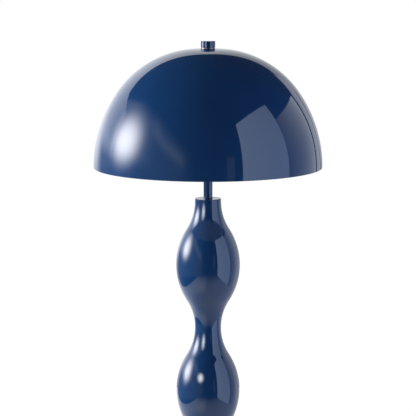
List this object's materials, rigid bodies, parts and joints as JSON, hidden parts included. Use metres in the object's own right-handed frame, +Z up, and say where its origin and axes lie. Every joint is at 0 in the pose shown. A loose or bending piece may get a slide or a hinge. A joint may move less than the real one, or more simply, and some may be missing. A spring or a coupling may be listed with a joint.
{
  "type": "mushroom floor lamp",
  "caption": "Floor lamp with a domed metal shade on a column of round bulges over a weighted round base, with a harp, screw finial, bulb and turn switch.",
  "frame": {"origin": "middle of the base, on the floor", "axes": "+Z up along the lamp; -Y is the front, where the switch knob points; +Y is the back, where the cord leaves the base"},
  "size_m": [0.4044, 0.4044, 1.4587],
  "materials": {
    "navy_lacquer": "high gloss lacquer",
    "black_steel": "satin",
    "zinc_steel": "zinc plated",
    "nickel_steel": "nickel plated",
    "cast_iron": "as cast",
    "rubber": "matt",
    "nylon": "matt",
    "phenolic": "semi-gloss",
    "card": "plain",
    "brass": "polished",
    "solder": "plain",
    "aluminium": "plain",
    "bulb_black": "gloss",
    "bulb_white": "gloss",
    "bulb_frost": "frosted",
    "led_yellow": "gloss"
  },
  "bodies": {
    "stand": {"foot_pads": "rubber", "bottom_plate": "black_steel", "plate_screws": "zinc_steel", "base_weight": "cast_iron", "base_cover": "navy_lacquer", "cord_grommet": "rubber", "lock_washer": "zinc_steel", "base_nut": "zinc_steel", "lower_pipe": "zinc_steel", "foot_bush": "nylon", "column_lower": "navy_lacquer", "seam_bush": "nylon", "pipe_coupler": "zinc_steel", "column_upper": "navy_lacquer", "upper_pipe": "zinc_steel", "stem_tube": "navy_lacquer", "harp_saddle": "nickel_steel", "saddle_nut": "nickel_steel", "socket_cap": "brass", "socket_set_screw": "zinc_steel", "socket_core": "phenolic", "terminal_screws": "brass", "screw_shell": "brass", "centre_contact": "brass", "socket_liner": "card", "socket_shell": "brass"},
    "harp": {"harp": "nickel_steel"},
    "ferrule_left": {"ferrule_left": "nickel_steel"},
    "ferrule_right": {"ferrule_right": "nickel_steel"},
    "harp_swivel": {"harp_swivel": "nickel_steel"},
    "shade": {"shade": "navy_lacquer", "shade_boss": "nickel_steel"},
    "finial_washer": {"finial_washer": "nickel_steel"},
    "finial": {"finial_insert": "brass", "finial_knob": "navy_lacquer"},
    "bulb": {"bulb_tip": "solder", "bulb_insulator": "bulb_black", "bulb_cap": "nickel_steel", "bulb_housing": "bulb_white", "led_board": "aluminium", "led_chips": "led_yellow", "bulb_globe": "bulb_frost"},
    "switch": {"switch_shaft": "brass", "switch_knob": "phenolic"}
  },
  "joints": [
    {"name": "harp_lift", "type": "slide", "parent": "stand", "child": "harp", "axis": [0, 0, 1], "range_m": [0, 0.02]},
    {"name": "ferrule_left_lift", "type": "slide", "parent": "harp", "child": "ferrule_left", "axis": [0, 0, 1], "range_m": [0, 0.012]},
    {"name": "ferrule_right_lift", "type": "slide", "parent": "harp", "child": "ferrule_right", "axis": [0, 0, 1], "range_m": [0, 0.012]},
    {"name": "shade_swivel", "type": "hinge", "parent": "harp", "child": "harp_swivel", "pos_m": [0, 0, 1.4411], "axis": [0, 0, 1], "continuous": true},
    {"name": "shade_lift", "type": "slide", "parent": "harp_swivel", "child": "shade", "axis": [0, 0, 1], "range_m": [0, 0.26]},
    {"name": "finial_turn", "type": "hinge", "parent": "finial_washer", "child": "finial", "pos_m": [0, 0, 1.4472], "axis": [0, 0, 1], "range_deg": [0, 2520]},
    {"name": "finial_rise", "type": "slide", "parent": "shade", "child": "finial_washer", "axis": [0, 0, 1], "range_m": [0, 0.0066]},
    {"name": "bulb_turn", "type": "hinge", "parent": "stand", "child": "bulb", "pos_m": [0, 0, 1.28], "axis": [0, 0, 1], "range_deg": [0, 1260]},
    {"name": "switch_turn", "type": "hinge", "parent": "stand", "child": "switch", "pos_m": [0, -0.028, 1.2576], "axis": [0, -1, 0], "continuous": true}
  ],
  "couplings": [
    {"joint": "finial_rise", "follows": "finial_turn", "m_per_rad": 0.00014972}
  ]
}
